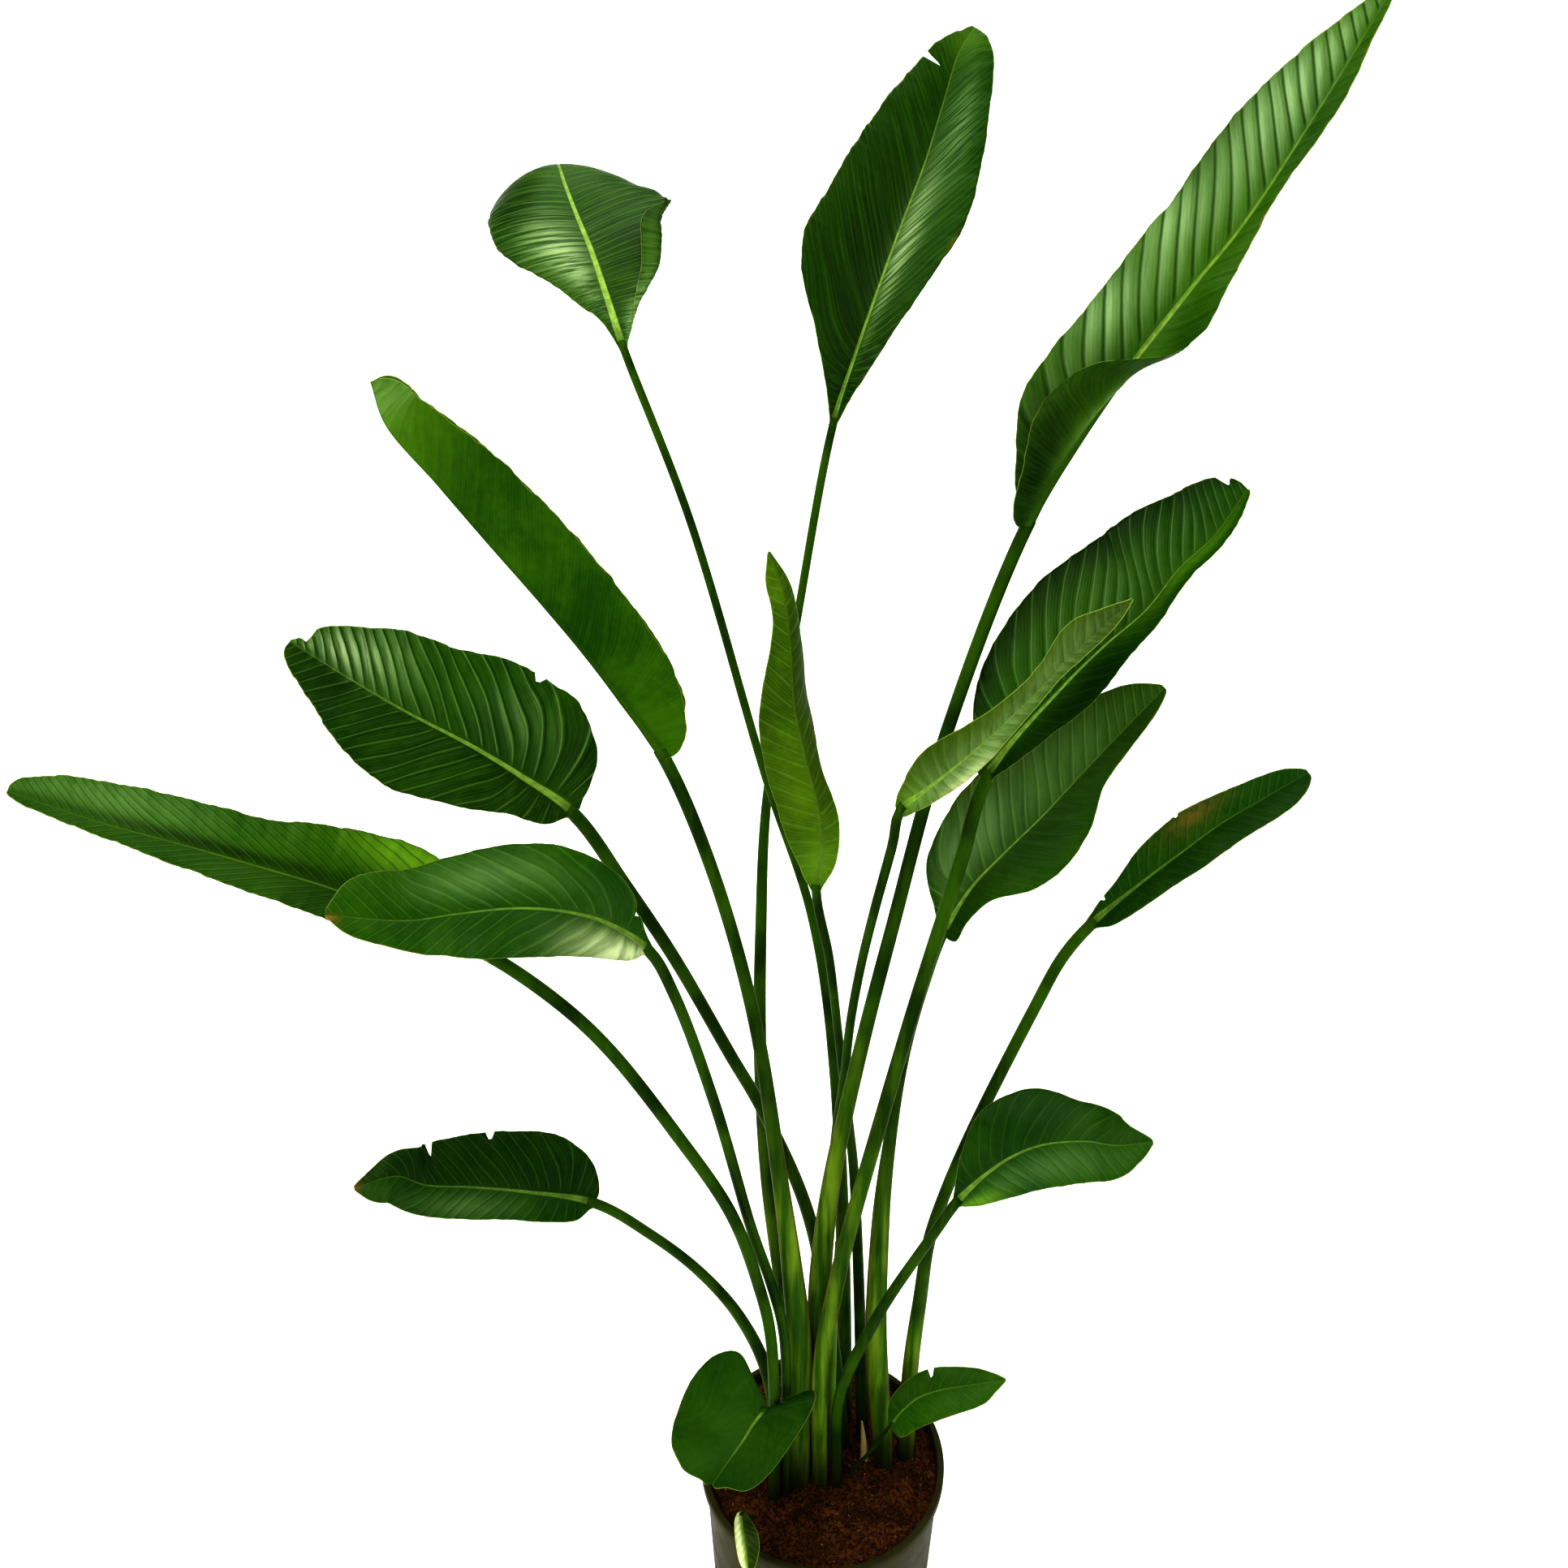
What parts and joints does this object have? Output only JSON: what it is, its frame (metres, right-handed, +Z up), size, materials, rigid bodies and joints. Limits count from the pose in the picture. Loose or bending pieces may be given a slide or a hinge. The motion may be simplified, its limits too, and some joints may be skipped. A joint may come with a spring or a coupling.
{
  "type": "potted bird of paradise plant",
  "caption": "Tall potted bird of paradise: paddle-shaped leaves on long arching stalks that rise from soil in a round plastic nursery pot.",
  "frame": {"origin": "middle of the underside of the pot", "axes": "+Z up along the pot's axis; the plant's front, which the picture shows, faces -Y; +X is to the right seen from the front"},
  "size_m": [0.9749, 0.6459, 1.549],
  "materials": {
    "pot_plastic": "satin",
    "soil": "matte",
    "stalk": "satin",
    "leaf_glossy": "gloss",
    "leaf_matt": "satin",
    "leaf_young": "satin",
    "dried_sheath": "matte"
  },
  "bodies": {
    "root": {"pot": "pot_plastic", "soil": "soil", "stalk_top_left": "stalk", "blade_top_left": "leaf_glossy", "stalk_top_centre": "stalk", "blade_top_centre": "leaf_glossy", "stalk_top_right": "stalk", "blade_top_right": "leaf_glossy", "stalk_left_folded": "stalk", "blade_left_folded": "leaf_matt", "stalk_left_high": "stalk", "blade_left_high": "leaf_glossy", "stalk_left_long": "stalk", "blade_left_long": "leaf_glossy", "stalk_left_front": "stalk", "blade_left_front": "leaf_glossy", "stalk_left_low": "stalk", "blade_left_low": "leaf_glossy", "stalk_pot_heart": "stalk", "blade_pot_heart": "leaf_glossy", "stalk_rim_sprout": "stalk", "blade_rim_sprout": "leaf_young", "stalk_centre_young": "stalk", "blade_centre_young": "leaf_young", "stalk_right_slim": "stalk", "blade_right_slim": "leaf_matt", "stalk_right_high": "stalk", "blade_right_high": "leaf_glossy", "stalk_right_middle": "stalk", "blade_right_middle": "leaf_glossy", "stalk_right_far": "stalk", "blade_right_far": "leaf_glossy", "stalk_right_low": "stalk", "blade_right_low": "leaf_glossy", "stalk_right_small": "stalk", "blade_right_small": "leaf_glossy", "young_shoot": "leaf_young", "dried_sheath": "dried_sheath"}
  },
  "joints": []
}
